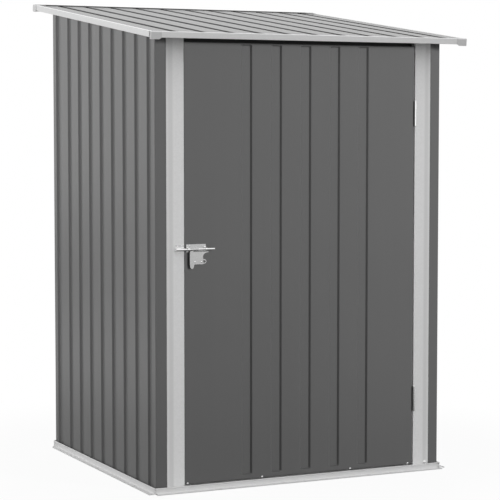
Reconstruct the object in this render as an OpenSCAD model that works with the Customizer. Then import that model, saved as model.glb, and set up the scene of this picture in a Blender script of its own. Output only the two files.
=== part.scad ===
// Metal tool shed with a pent roof, one hinged door and a slide bolt.
// Millimetres, +Z up, front towards -Y, standing on Z = 0.

/* [Walls] */
// Outside width of the walls
wall_width = 1040; // [860:10:1400]
// Outside depth of the walls
wall_depth = 965; // [700:5:1400]
// Height of the underside of the roof over the front wall
front_height = 1463; // [1200:1:1900]
// Sheet thickness as drawn
sheet = 1; // [0.8:0.1:1.6]
// Spacing of the rolled grooves
groove_pitch = 106; // [90:1:140]
// Width of a groove at its mouth
groove_mouth = 38; // [28:1:50]
// Width of a groove at its floor
groove_floor = 28; // [16:1:40]
// Depth of a groove
groove_depth = 7; // [4:0.5:10]
// First side groove, from the front corner
first_groove = 49; // [40:1:70]
// Extra width of the last side groove, at the rear corner
rear_groove_extra = 18; // [0:1:24]

/* [Roof] */
// Slope of the roof in degrees
roof_slope = 7.5; // [4:0.5:12]
// Spacing of the roof grooves
roof_pitch = 99; // [80:1:130]
// First roof groove, from the left edge
roof_first = 91; // [60:1:110]
// Spacing of the last roof groove from the one before
roof_last = 84; // [70:1:100]
// Width of a roof groove at its mouth
roof_mouth = 26; // [20:1:40]
// Width of a roof groove at its floor
roof_floor = 15; // [8:1:30]
// Overhang past the side walls
over_side = 48; // [30:1:90]
// Overhang past the front wall
over_front = 88; // [60:1:130]
// Overhang past the rear wall
over_rear = 73; // [40:1:120]
// Depth of the edge trim below the deck
trim_drop = 10; // [6:0.5:14]
// Width of the lips of the edge trim
trim_lip = 12; // [8:1:20]
// Length of a corner cap along each edge
cap_length = 38; // [22:1:45]
// Length of a front cap along the side edge
cap_side = 8; // [6:1:45]
// How far a corner cap hangs below the edge trim
cap_hang = 5; // [2:0.5:8]
// Thickness of trims, jambs and rails
trim = 1.2; // [1:0.1:2]

/* [Base] */
// Height of the base rail
rail_height = 20; // [14:1:30]
// Outer face of the rail, out from the wall
rail_out = 6; // [5:0.5:10]
// Foot of the rail beyond its outer face
rail_foot = 20; // [10:1:30]
// Inner flange of the rail, in from the wall face
rail_in = 30; // [27:1:50]
// Slant of the feet at the rear corners
foot_slant = 42; // [0:1:60]
// Radius of the anchor holes in the base rails
anchor_r = 4.5; // [3:0.5:5]
// Anchor holes, from the front and rear walls
anchor_inset = 160; // [100:5:300]

/* [Doorway] */
// Corner strip beside each jamb
corner_strip = 37; // [25:1:60]
// Width of a door jamb
jamb_width = 59.5; // [45:0.5:90]
// Width of the notch in the top of a corner strip, beside the jamb
notch_width = 17; // [8:1:24]
// Depth of that notch below the roof at the front wall
notch_drop = 31; // [20:1:60]
// How far the jamb stands proud of the wall
jamb_proud = 3; // [2:0.5:4]
// Height of the header between the door gap and the roof
header_height = 25.5; // [16:0.5:60]
// Gap round the door
door_gap = 2; // [2:0.5:6]
// Depth of the folded door tray
door_depth = 20; // [16:1:26]
// Number of pressed grooves in the door
door_grooves = 5; // [3:1:6]
// Spacing of the door grooves
door_pitch = 106.8; // [90:0.1:130]
// Grooves end this far below the door top
groove_top = 5; // [4:1:40]
// Grooves end this far above the door bottom
groove_foot = 15; // [4:1:40]
// Length of the sloped ends of the door grooves
groove_ramp = 4; // [4:1:20]
// Sideways shift of the door grooves
groove_shift = 13; // [-20:1:20]
// Height of the hinges
hinge_height = 84; // [60:1:110]
// Hinge centres, from each end of the door
hinge_inset = 224.5; // [120:0.5:350]

/* [Latch] */
// Height of the bolt above the ground
latch_height = 778.5; // [600:0.5:950]
// Radius of the bolt
bolt_r = 4; // [3:0.25:5]
// Bolt centre, out from the wall face
bolt_out = 10; // [9:0.5:12]
// Sliding travel of the bolt
bolt_travel = 36; // [30:1:40]
// Width of the hanging handle
handle_width = 47; // [36:1:60]
// Drop of the hanging handle
handle_drop = 46.5; // [36:0.5:70]
// Outer radius of the padlock eye
eye_r = 7; // [6:0.5:10]

/* [Hidden] */
eps = 0.5;
big = 4000;
half = wall_width / 2;
roof_w = wall_width + 2 * over_side;
roof_d = wall_depth + over_front + over_rear;
yf = over_front - roof_d / 2;
yb = yf + wall_depth;
web = 1.5;
rise = groove_depth + sheet;
slope_len = roof_d / cos(roof_slope);
ry0 = -over_front / cos(roof_slope);
ry1 = ry0 + slope_len;
side_n = floor((wall_depth - first_groove - rear_groove_extra - groove_mouth) / groove_pitch) + 1;
side_c = [for (i = [0:side_n - 1]) first_groove + i * groove_pitch];
side_mid = side_c[floor((side_n - 1) / 2)];
side_last = side_c[side_n - 1];
rear_n = floor((wall_width - 2 * first_groove) / groove_pitch) + 1;
rear_c = [for (i = [0:rear_n - 1]) (i - (rear_n - 1) / 2) * groove_pitch];
rear_mid = rear_c[floor((rear_n - 1) / 2)];
roof_n = floor((roof_w - roof_first - roof_last - 2 * roof_mouth) / roof_pitch) + 1;
roof_x0 = roof_first - roof_w / 2;
roof_c = concat([for (i = [0:roof_n - 1]) roof_x0 + i * roof_pitch],
  [roof_x0 + (roof_n - 1) * roof_pitch + roof_last]);
roof_mid = roof_c[floor(roof_n / 2)];
open_l = -half + corner_strip + jamb_width;
open_r = -open_l;
open_top = front_height - header_height;
door_top = open_top - door_gap;
door_l = open_l + door_gap;
door_r = open_r - door_gap;
door_w = door_r - door_l;
door_bottom = rail_height + door_gap;
door_h = door_top - door_bottom;
stop_gap = 5;
stop_y = yf + door_depth + stop_gap;
stop_w = 12;
strip_lap = 11;
ramp = 12;
stile_w = 30;
hinge_x = open_r - door_gap / 2;
hinge_y = yf - 6;
hinge_r = 3;
pin_r = 1.5;
leaf = 0.8;
leaf_depth = door_depth - stop_gap;
third = hinge_height / 3;
latch_y = yf - bolt_out;
keep_w = 30;
ring_r = bolt_r + 2.5;
run_gap = 0.08;
handle_x = open_l + 18;
collar_w = 12;
handle_t = 2;
eye_wall = 3;
ring_w = 7;
PAINT = [0.30, 0.31, 0.32];
SILVER = [0.75, 0.76, 0.77];
STEEL = [0.6, 0.6, 0.62];

// Height of the underside of the roof at depth y.
function deck(y) = front_height + (y - yf) * tan(roof_slope);

// Right-hand unit normal of the line from a to b.
function normal(a, b) = let (u = (b - a) / norm(b - a)) [u[1], -u[0]];

// Copy of a polyline moved t to its right with mitred bends.
function inset(p, t) = [for (i = [0:len(p) - 1])
  let (n1 = i > 0 ? normal(p[i - 1], p[i]) : normal(p[0], p[1]),
       n2 = i < len(p) - 1 ? normal(p[i], p[i + 1]) : n1)
  p[i] + t * (n1 + n2) / (1 + n1 * n2)];

// Closed outline of a folded sheet that lies to the right of a polyline.
function folded(p, t) = let (q = inset(p, t)) concat(p, [for (i = [len(q) - 1:-1:0]) q[i]]);

function same(a, b) = abs(a - b) < 0.01;

// Polyline of a rolled sheet from a to b with grooves at the centres cs.
// A groove is m wide at its mouth and f wide at its floor.
function rolled(a, b, cs, m, f) = concat(
  [[a, len([for (c = cs) if (same(c, a)) c]) > 0 ? -groove_depth : 0]],
  [for (c = cs) for (q = same(c, a) ? groove_out(c, m, f) : same(c, b) ? groove_in(c, m, f)
    : (c > a && c < b) ? concat(groove_in(c, m, f), groove_out(c, m, f)) : []) q],
  [[b, len([for (c = cs) if (same(c, b)) c]) > 0 ? -groove_depth : 0]]);
function groove_in(c, m, f) = [[c - m / 2, 0], [c - f / 2, -groove_depth]];
function groove_out(c, m, f) = [[c + f / 2, -groove_depth], [c + m / 2, 0]];

// Places children on the slope of the roof, Z = 0 on its underside.
module on_roof() {
  translate([0, yf, front_height]) rotate([roof_slope, 0, 0]) children();
}

// Cuts children off at the underside of the roof.
module under_roof() {
  difference() {
    children();
    on_roof() translate([-big / 2, -big / 2, 0]) cube([big, big, big / 2]);
  }
}

// Upright sheet from an outline, standing in the base rail.
module wall_sheet(p, t) {
  under_roof() translate([0, 0, web]) linear_extrude(front_height + wall_depth) polygon(folded(p, t));
}

// Profile of a base rail, x out from the wall and y up.
module rail_profile(upstand) {
  polygon([[-rail_in, 0], [rail_out + rail_foot, 0], [rail_out + rail_foot, 2 * web],
    [rail_out + rail_foot - trim, 2 * web], [rail_out + rail_foot - trim, web], [rail_out, web],
    [rail_out, rail_height], [rail_out - trim, rail_height], [rail_out - trim, web],
    [-rise, web], [-rise, upstand], [-rise - trim, upstand], [-rise - trim, web], [-rail_in, web]]);
}

// Base rail along X with its wall face at y = 0, outside towards -Y. Its inner part is mitred,
// its foot ends square with the outer face and slants by cut_l and cut_r at its ends.
module base_rail(length, upstand, cut_l, cut_r) {
  out = rail_out + rail_foot;
  tip = length / 2 + rail_out;
  intersection() {
    translate([-length, 0, 0]) rotate([90, 0, 90]) linear_extrude(2 * length)
      mirror([1, 0, 0]) rail_profile(upstand);
    linear_extrude(rail_height + web) polygon([[cut_l - tip, -out], [tip - cut_r, -out], [tip, -rail_out],
      [length / 2 - rail_in, rail_in], [-length / 2 + rail_in, rail_in], [-tip, -rail_out]]);
  }
}

// Front rail, with a sill between the jambs that the door closes against.
module base_rail_front() {
  color(SILVER) union() {
    translate([0, yf, 0]) base_rail(wall_width, 2 * web, 0, 0);
    translate([open_l + stop_w, stop_y, 0]) cube([open_r - open_l - 2 * stop_w, trim, door_bottom + stop_w]);
  }
}

module base_rail_rear() {
  color(SILVER) translate([0, yb, 0]) rotate([0, 0, 180])
    base_rail(wall_width, rail_height, foot_slant, foot_slant);
}

// Side rail with its two anchor holes in the inner flange.
module side_base_rail() {
  x = half - (rise + trim + rail_in) / 2;
  difference() {
    translate([-half, (yf + yb) / 2, 0]) rotate([0, 0, -90])
      base_rail(wall_depth, rail_height, foot_slant, 0);
    for (y = [yf + anchor_inset, yb - anchor_inset])
      translate([-x, y, -web]) cylinder(r = anchor_r, h = 3 * web, $fn = 48);
  }
}

module base_rail_left() {
  color(SILVER) side_base_rail();
}

module base_rail_right() {
  color(SILVER) mirror([1, 0, 0]) side_base_rail();
}

// Left side sheet between two distances from the front corner.
module side_sheet(a, b) {
  wall_sheet([for (q = rolled(a, b, side_c, groove_mouth, groove_floor)) [-half - q[1], yf + q[0]]], sheet);
}

module left_wall_front_panel() {
  color(PAINT) side_sheet(first_groove, side_mid);
}

module left_wall_rear_panel() {
  color(PAINT) side_sheet(side_mid, side_last);
}

module right_wall_front_panel() {
  color(PAINT) mirror([1, 0, 0]) side_sheet(first_groove, side_mid);
}

module right_wall_rear_panel() {
  color(PAINT) mirror([1, 0, 0]) side_sheet(side_mid, side_last);
}

module rear_sheet(a, b) {
  wall_sheet([for (q = rolled(a, b, rear_c, groove_mouth, groove_floor)) [q[0], yb + q[1]]], sheet);
}

module rear_wall_left_panel() {
  color(PAINT) rear_sheet(rear_c[0], rear_mid);
}

module rear_wall_right_panel() {
  color(PAINT) rear_sheet(rear_mid, rear_c[rear_n - 1]);
}

// Front corner sheet, notched at the top between its corner and the jamb.
module front_corner_sheet() {
  y = yf + first_groove;
  difference() {
    wall_sheet([[-half + corner_strip + strip_lap, yf], [-half, yf], [-half, y - groove_mouth / 2],
      [-half + groove_depth, y - groove_floor / 2], [-half + groove_depth, y]], sheet);
    translate([-half + corner_strip - notch_width, yf - sheet, front_height - notch_drop])
      cube([notch_width + 2 * strip_lap, 3 * sheet, 2 * notch_drop]);
  }
}

module front_left_corner_panel() {
  color(PAINT) front_corner_sheet();
}

module front_right_corner_panel() {
  color(PAINT) mirror([1, 0, 0]) front_corner_sheet();
}

module rear_corner_sheet() {
  y = yf + side_last;
  x = rear_c[0];
  wall_sheet([[-half + groove_depth, y], [-half + groove_depth, y + groove_floor / 2 + rear_groove_extra],
    [-half, y + groove_mouth / 2 + rear_groove_extra], [-half, yb], [x - groove_mouth / 2, yb],
    [x - groove_floor / 2, yb - groove_depth], [x, yb - groove_depth]], sheet);
}

module rear_left_corner_panel() {
  color(PAINT) rear_corner_sheet();
}

module rear_right_corner_panel() {
  color(PAINT) mirror([1, 0, 0]) rear_corner_sheet();
}

// Folded jamb: lap on the corner strip, ramp, face, reveal and door stop.
module jamb() {
  x = -half + corner_strip;
  wall_sheet([[open_l + stop_w, stop_y], [open_l, stop_y], [open_l, yf - jamb_proud],
    [x + strip_lap + ramp, yf - jamb_proud], [x + strip_lap, yf - trim], [x, yf - trim]], trim);
}

module door_jamb_left() {
  color(SILVER) jamb();
}

module door_jamb_right() {
  color(SILVER) mirror([1, 0, 0]) jamb();
}

// Header set back over the door, on the fronts of the jamb stops, with a flange folded back between them.
module door_header() {
  y = stop_y - trim;
  z = open_top - stop_w;
  color(PAINT) under_roof() union() {
    translate([open_l, y, z]) cube([open_r - open_l, trim, header_height + 3 * stop_w]);
    translate([open_l + stop_w, y, z]) cube([open_r - open_l - 2 * stop_w, stop_w, trim]);
  }
}

// Angle along the top of a side wall.
module side_top_rail() {
  run = (wall_depth - rise - rail_in) / cos(roof_slope);
  on_roof() translate([-half + rise, 2 * trim, 0]) rotate([-90, 0, 0])
    linear_extrude(run - 4 * trim) polygon([[0, 0], [stile_w, 0], [stile_w, trim], [trim, trim],
      [trim, stile_w], [0, stile_w]]);
}

module side_top_rail_left() {
  color(SILVER) side_top_rail();
}

module side_top_rail_right() {
  color(SILVER) mirror([1, 0, 0]) side_top_rail();
}

module rear_top_rail() {
  y1 = yb - rise;
  y0 = yb - rail_in;
  color(SILVER) translate([-half + rise + trim, 0, 0]) rotate([90, 0, 90])
    linear_extrude(wall_width - 2 * rise - 2 * trim) polygon([[y1, deck(y1) - stile_w], [y1, deck(y1)],
      [y0, deck(y0)], [y0, deck(y0) - trim], [y1 - trim, deck(y1 - trim) - trim],
      [y1 - trim, deck(y1) - stile_w]]);
}

// Channel across the middle of the roof, between the side rails.
module roof_beam() {
  x = half - rise - stile_w;
  y = wall_depth / 2 / cos(roof_slope);
  color(SILVER) on_roof() translate([-x, y, 0]) rotate([90, 0, 90]) linear_extrude(2 * x)
    polygon(folded([[stile_w / 2, -stile_w], [stile_w / 2, 0], [-stile_w / 2, 0],
      [-stile_w / 2, -stile_w]], -trim));
}

module roof_sheet(a, b) {
  on_roof() translate([0, ry1, rise]) rotate([90, 0, 0]) linear_extrude(slope_len)
    polygon(folded(rolled(a, b, roof_c, roof_mouth, roof_floor), sheet));
}

module roof_panel_left() {
  color(PAINT) roof_sheet(-roof_w / 2, roof_mid);
}

module roof_panel_right() {
  color(PAINT) roof_sheet(roof_mid, roof_w / 2);
}

// Edge trim profile: web at x = -trim..0, lips towards +x.
module trim_profile() {
  polygon([[-trim, -trim_drop], [trim_lip, -trim_drop], [trim_lip, trim - trim_drop], [0, trim - trim_drop],
    [0, rise], [trim_lip, rise], [trim_lip, rise + trim], [-trim, rise + trim]]);
}

module roof_trim_front() {
  color(SILVER) on_roof() translate([-roof_w / 2, ry0, 0]) rotate([90, 0, 90])
    linear_extrude(roof_w) trim_profile();
}

module roof_trim_rear() {
  color(SILVER) on_roof() translate([-roof_w / 2, ry1, 0]) rotate([90, 0, 90])
    linear_extrude(roof_w) mirror([1, 0, 0]) trim_profile();
}

module side_trim() {
  on_roof() translate([-roof_w / 2, ry1 - trim_lip, 0]) rotate([90, 0, 0])
    linear_extrude(slope_len - 2 * trim_lip) trim_profile();
}

module roof_trim_left() {
  color(SILVER) side_trim();
}

module roof_trim_right() {
  color(SILVER) mirror([1, 0, 0]) side_trim();
}

// Corner cap over the left end of an edge at y = 0, roof towards +X and +Y.
module cap(side) {
  low = -trim_drop - cap_hang;
  tall = rise + 2 * trim - low;
  translate([-2 * trim, -2 * trim, low]) {
    cube([cap_length, trim, tall]);
    cube([trim, side, tall]);
    translate([0, 0, tall - trim]) cube([cap_length, side, trim]);
  }
}

module roof_cap_front_left() {
  color(SILVER) on_roof() translate([-roof_w / 2, ry0, 0]) cap(cap_side);
}

module roof_cap_front_right() {
  color(SILVER) on_roof() translate([roof_w / 2, ry0, 0]) mirror([1, 0, 0]) cap(cap_side);
}

module roof_cap_rear_left() {
  color(SILVER) on_roof() translate([-roof_w / 2, ry1, 0]) mirror([0, 1, 0]) cap(cap_length);
}

module roof_cap_rear_right() {
  color(SILVER) on_roof() translate([roof_w / 2, ry1, 0]) mirror([0, 1, 0]) mirror([1, 0, 0])
    cap(cap_length);
}

// Half width at depth d of a press mark, w at the face and narrowing by run over the groove's depth.
function press_half(w, run, d) = w / 2 - d * run / groove_depth;

// Press mark at x = c from z0 to z1, grown by g all round and reaching depth d behind the face.
module press_mark(c, z0, z1, g, d) {
  run = (groove_mouth - groove_floor) / 2;
  w = groove_mouth + 2 * g;
  l = z1 - z0 + 2 * g;
  intersection() {
    translate([c, yf, z0 - big / 8]) linear_extrude(z1 - z0 + big / 4)
      polygon([for (k = [[-1, -sheet], [1, -sheet], [1, d], [-1, d]])
        [k[0] * press_half(w, run, k[1]), k[1]]]);
    translate([c - groove_mouth, yf, (z0 + z1) / 2]) rotate([90, 0, 90]) linear_extrude(2 * groove_mouth)
      polygon([for (k = [[-1, -sheet], [1, -sheet], [1, d], [-1, d]])
        [k[1], k[0] * press_half(l, groove_ramp, k[1])]]);
  }
}

// Folded door tray with grooves pressed in from the front, sloped at both ends.
module door_panel() {
  mid = (door_l + door_r) / 2 + groove_shift;
  cs = [for (i = [0:door_grooves - 1]) mid + (i - (door_grooves - 1) / 2) * door_pitch];
  z0 = door_bottom + groove_foot;
  z1 = door_top - groove_top;
  color(PAINT) difference() {
    union() {
      difference() {
        translate([door_l, yf, door_bottom]) cube([door_w, door_depth, door_h]);
        translate([door_l + sheet, yf + sheet, door_bottom + sheet])
          cube([door_w - 2 * sheet, door_depth, door_h - 2 * sheet]);
      }
      intersection() {
        union() {
          for (c = cs) press_mark(c, z0, z1, 1.25 * sheet, rise);
        }
        translate([door_l, yf, door_bottom]) cube([door_w, door_depth, door_h]);
      }
    }
    for (c = cs) press_mark(c, z0, z1, 0, groove_depth);
  }
}

// Stiffener down one edge of the door, closed by the edge of the tray.
module door_stile() {
  translate([door_l + sheet, yf + sheet, door_bottom + sheet]) linear_extrude(door_h - 2 * sheet)
    polygon([[0, 0], [stile_w, 0], [stile_w, door_depth - sheet], [0, door_depth - sheet],
      [0, door_depth - sheet - trim], [stile_w - trim, door_depth - sheet - trim],
      [stile_w - trim, trim], [0, trim]]);
}

module door_stile_latch() {
  color(SILVER) door_stile();
}

module door_stile_hinge() {
  color(SILVER) mirror([1, 0, 0]) door_stile();
}

// Stiffener across one end of the door, on the backs of the grooves.
module door_rail(z) {
  x = door_l + sheet + stile_w;
  translate([x, yf + rise, z]) rotate([90, 0, 90]) linear_extrude(-2 * x)
    polygon([[0, 0], [door_depth - rise, 0], [door_depth - rise, stile_w], [0, stile_w],
      [0, stile_w - trim], [door_depth - rise - trim, stile_w - trim], [door_depth - rise - trim, trim],
      [0, trim]]);
}

module door_rail_top() {
  color(SILVER) door_rail(door_top - sheet - stile_w);
}

module door_rail_bottom() {
  color(SILVER) door_rail(door_bottom + sheet);
}

// Jamb half of a hinge centred at height z, with the pin.
module jamb_leaf(z) {
  translate([0, 0, z - hinge_height / 2]) union() {
    translate([open_r - leaf, hinge_y + hinge_r + eps, 0])
      cube([leaf, yf + leaf_depth - hinge_y - hinge_r - eps, hinge_height]);
    for (k = [0, 2]) {
      translate([hinge_x, hinge_y, k * third]) cylinder(r = hinge_r, h = third, $fn = 48);
      translate([open_r - leaf, hinge_y, k * third]) cube([leaf, hinge_r + 2 * eps, third]);
    }
    translate([hinge_x, hinge_y, eps]) cylinder(r = pin_r, h = hinge_height - 2 * eps, $fn = 48);
  }
}

// Door half of a hinge, with the middle knuckle.
module door_leaf(z) {
  translate([0, 0, z - hinge_height / 2]) difference() {
    union() {
      translate([door_r, hinge_y + hinge_r + eps, 0])
        cube([leaf, yf + leaf_depth - hinge_y - hinge_r - eps, hinge_height]);
      translate([hinge_x, hinge_y, third + eps]) cylinder(r = hinge_r, h = third - 2 * eps, $fn = 48);
      translate([door_r, hinge_y, third + eps]) cube([leaf, hinge_r + 2 * eps, third - 2 * eps]);
    }
    translate([hinge_x, hinge_y, third]) cylinder(r = pin_r + run_gap, h = third, $fn = 48);
  }
}

module hinge_upper_jamb_leaf() {
  color(SILVER) jamb_leaf(door_top - hinge_inset);
}

module hinge_lower_jamb_leaf() {
  color(SILVER) jamb_leaf(door_bottom + hinge_inset);
}

module hinge_upper_door_leaf() {
  color(SILVER) door_leaf(door_top - hinge_inset);
}

module hinge_lower_door_leaf() {
  color(SILVER) door_leaf(door_bottom + hinge_inset);
}

// Cylinder along X from x at the height of the bolt.
module along_bolt(x, r, length) {
  translate([x, latch_y, latch_height]) rotate([0, 90, 0]) cylinder(r = r, h = length, $fn = 64);
}

// Half-round keeper with two flanges on the left jamb.
module latch_keeper() {
  x = open_l - keep_w;
  y = yf - jamb_proud;
  r = bolt_r + 1;
  color(STEEL) difference() {
    union() {
      along_bolt(x, r + trim, keep_w);
      translate([x, latch_y, latch_height - r - trim]) cube([keep_w, y - latch_y, 2 * (r + trim)]);
      translate([x, y - trim, latch_height - 4 * bolt_r]) cube([keep_w, trim, 8 * bolt_r]);
    }
    along_bolt(x - 1, r, keep_w + 2);
    translate([x - 1, latch_y, latch_height - r]) cube([keep_w + 2, y - latch_y + 1, 2 * r]);
  }
}

// Plate on the door with two guides for the bolt.
module latch_base() {
  x0 = handle_x - ring_w - 2;
  x1 = handle_x + collar_w + bolt_travel + 4;
  color(STEEL) difference() {
    union() {
      translate([x0, yf - web, latch_height - ring_r]) cube([x1 + ring_w - x0, web, ring_r + 4 * bolt_r]);
      for (x = [x0, x1]) {
        along_bolt(x, ring_r, ring_w);
        translate([x, latch_y, latch_height - bolt_r]) cube([ring_w, bolt_out - web, 2 * bolt_r]);
      }
    }
    along_bolt(x0 - 1, bolt_r + run_gap, x1 + ring_w - x0 + 2);
  }
}

module bolt_rod() {
  color(STEEL) along_bolt(open_l - keep_w - 1, bolt_r, 3.3 * keep_w + bolt_travel);
}

// Plate outline pieces of the handle are drawn flat, x across and y up, then stood upright.
module handle_outline(top, low) {
  tongue = handle_width / 6;
  eye = [handle_width + eye_r / 2, low + eye_r];
  waist = [handle_width + 2 * tongue, (top + low) / 2];
  difference() {
    union() {
      difference() {
        union() {
          translate([0, low]) square([handle_width, top - low]);
          translate([0, low - tongue]) square([2 * tongue, top - low]);
          translate([tongue, low - tongue]) circle(r = tongue, $fn = 48);
          translate([handle_width, top - tongue]) square([2.4 * tongue, tongue]);
        }
        translate(waist) circle(r = (top - low - tongue) / 2, $fn = 64);
      }
      translate(eye) circle(r = eye_r, $fn = 48);
    }
    translate(eye) circle(r = eye_r - eye_wall, $fn = 48);
  }
}

// Hanging handle with a collar on the bolt, a finger tongue and a padlock eye.
module bolt_handle() {
  top = -ring_r - 2 * eps;
  neck = collar_w - 2;
  color(STEEL) difference() {
    union() {
      along_bolt(handle_x + 2, ring_r - eps, neck);
      translate([handle_x + 2, latch_y, latch_height + top - 1]) cube([neck, handle_t, 1 - top]);
      translate([handle_x, latch_y + handle_t, latch_height]) rotate([90, 0, 0]) linear_extrude(handle_t)
        handle_outline(top, -handle_drop);
    }
    along_bolt(handle_x, bolt_r, collar_w + 2);
  }
}

base_rail_front();
base_rail_rear();
base_rail_left();
base_rail_right();
left_wall_front_panel();
left_wall_rear_panel();
right_wall_front_panel();
right_wall_rear_panel();
rear_wall_left_panel();
rear_wall_right_panel();
front_left_corner_panel();
front_right_corner_panel();
rear_left_corner_panel();
rear_right_corner_panel();
door_jamb_left();
door_jamb_right();
door_header();
side_top_rail_left();
side_top_rail_right();
rear_top_rail();
roof_beam();
roof_panel_left();
roof_panel_right();
roof_trim_front();
roof_trim_rear();
roof_trim_left();
roof_trim_right();
roof_cap_front_left();
roof_cap_front_right();
roof_cap_rear_left();
roof_cap_rear_right();
door_panel();
door_stile_latch();
door_stile_hinge();
door_rail_top();
door_rail_bottom();
hinge_upper_jamb_leaf();
hinge_lower_jamb_leaf();
hinge_upper_door_leaf();
hinge_lower_door_leaf();
latch_keeper();
latch_base();
bolt_rod();
bolt_handle();
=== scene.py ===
"""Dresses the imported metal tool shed: sheets, folded trims, slide bolt, hinges, screws and a studio."""
import math

import bmesh
import bpy
import numpy as np
from bpy.props import FloatProperty, FloatVectorProperty, IntProperty, PointerProperty
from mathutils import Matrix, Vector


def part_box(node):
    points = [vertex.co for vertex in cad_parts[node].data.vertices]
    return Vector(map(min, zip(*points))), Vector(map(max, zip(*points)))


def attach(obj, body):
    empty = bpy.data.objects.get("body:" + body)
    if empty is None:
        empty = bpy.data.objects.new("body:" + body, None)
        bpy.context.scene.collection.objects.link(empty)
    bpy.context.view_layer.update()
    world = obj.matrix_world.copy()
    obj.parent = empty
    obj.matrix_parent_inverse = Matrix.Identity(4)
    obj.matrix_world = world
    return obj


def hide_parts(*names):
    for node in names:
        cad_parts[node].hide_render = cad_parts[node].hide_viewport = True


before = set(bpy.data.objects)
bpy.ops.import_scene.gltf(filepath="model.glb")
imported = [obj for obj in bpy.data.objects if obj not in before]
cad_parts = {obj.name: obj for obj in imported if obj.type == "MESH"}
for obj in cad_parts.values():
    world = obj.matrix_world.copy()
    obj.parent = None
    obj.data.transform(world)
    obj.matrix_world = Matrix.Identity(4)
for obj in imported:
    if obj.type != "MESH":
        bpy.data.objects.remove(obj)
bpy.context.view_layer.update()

bl_info = {
    "name": "Metal tool shed",
    "version": (1, 0, 0),
    "blender": (4, 5, 0),
    "location": "3D View > Sidebar > Shed",
    "description": "Builds the sheets, trims, door, latch and studio of a small metal tool shed",
    "category": "Object",
}

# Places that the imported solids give, in metres
LEFT_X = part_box("left_wall_front_panel")[0][0]
FRONT_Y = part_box("door_panel")[0][1]
REAR_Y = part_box("rear_wall_left_panel")[1][1]
SEAT_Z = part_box("left_wall_front_panel")[0][2]
RAIL_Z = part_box("base_rail_left")[1][2]
OPEN_L, OPEN_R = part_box("door_header")[0][0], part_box("door_header")[1][0]
STOP_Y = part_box("base_rail_front")[1][1]
JAMB_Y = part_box("door_jamb_left")[0][1]
DOOR_LO, DOOR_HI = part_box("door_panel")
FRONT_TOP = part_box("front_left_corner_panel")[1]
REAR_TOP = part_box("rear_left_corner_panel")[1]
FIRST = FRONT_TOP[1] - FRONT_Y
REAR_FIRST = REAR_TOP[0]
SLOPE = math.atan2(REAR_TOP[2] - FRONT_TOP[2], REAR_TOP[1] - FRONT_TOP[1])
DECK = FRONT_TOP[2] - FIRST * math.tan(SLOPE)
ROOF_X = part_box("roof_panel_right")[1][0]
ROD_LO, ROD_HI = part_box("bolt_rod")
ROD_R = (ROD_HI[2] - ROD_LO[2]) / 2
ROD_Y, ROD_Z = (ROD_LO[1] + ROD_HI[1]) / 2, (ROD_LO[2] + ROD_HI[2]) / 2

# Width of the door stop that the jambs and the front rail share, in metres
STOP_WIDE = 0.012

WHITE, BLACK = (1, 1, 1, 1), (0, 0, 0, 1)


def size(label, text, default):
    """Length property in metres."""
    return FloatProperty(name=label, description=text, default=default, unit="LENGTH", precision=4)


def count(label, text, default):
    """Number of grooves."""
    return IntProperty(name=label, description=text, default=default, min=3)


def grey(label, text, level):
    """Linear colour property that starts as a neutral grey."""
    return FloatVectorProperty(name=label, description=text, default=(level,) * 3, size=3, subtype="COLOR",
                               min=0, max=1)


class ShedSizes(bpy.types.PropertyGroup):
    """Sizes of the sheets, folds and fittings."""
    sheet: size("Sheet", "Thickness of the rolled sheets", 0.001)
    fold: size("Fold", "Thickness of the folded trims", 0.0012)
    bend: size("Bend", "Radius of the rolled bends", 0.0028)
    crease: size("Crease", "Radius of the folded bends", 0.0012)
    upstand: size("Upstand", "Height of the roof's turned-up rear strip", 0.0030)
    corner: size("Corner", "Radius of the corner sheets' bends", 0.005)
    pitch: size("Wall pitch", "Spacing of a wall's grooves", 0.106)
    mouth: size("Groove mouth", "Width of a wall groove at the face", 0.038)
    floor: size("Groove floor", "Width of a wall groove at its floor", 0.028)
    depth: size("Groove depth", "Depth of all grooves", 0.007)
    rear_extra: size("Rear groove", "Extra width of the last groove of a side wall", 0.018)
    roof_first: size("First roof groove", "From the left edge to the first roof groove", 0.091)
    roof_pitch: size("Roof pitch", "Spacing of the roof's grooves", 0.099)
    roof_last: size("Last roof groove", "From the groove before it", 0.084)
    roof_mouth: size("Roof mouth", "Width of a roof groove at the top", 0.026)
    roof_floor: size("Roof floor", "Width of a roof groove at its floor", 0.015)
    strip: size("Corner strip", "Painted strip between a corner and its jamb", 0.037)
    cap: size("Cap", "Length of a corner cap along its edge", 0.038)
    cap_side: size("Cap side", "Length of a front cap along the side edge", 0.0060)
    notch: size("Notch", "Width of the notch in the top of a corner strip", 0.017)
    notch_drop: size("Notch drop", "Depth of that notch below the roof", 0.031)
    slant: size("Foot slant", "Slant of a side rail's foot at its rear end", 0.042)
    door_pitch: size("Door pitch", "Spacing of the door's grooves", 0.1068)
    door_shift: size("Door shift", "Grooves of the door, right of its middle", 0.013)
    screw: size("Door screw", "Radius of a door screw's head", 0.0032)
    foot_screw: size("Jamb screw", "Radius of the jamb screw's head", 0.0052)
    side_grooves: count("Side grooves", "Grooves of a side wall", 9)
    roof_grooves: count("Roof grooves", "Evenly spaced grooves of the roof", 10)
    door_grooves: count("Door grooves", "Grooves of the door", 5)


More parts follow.
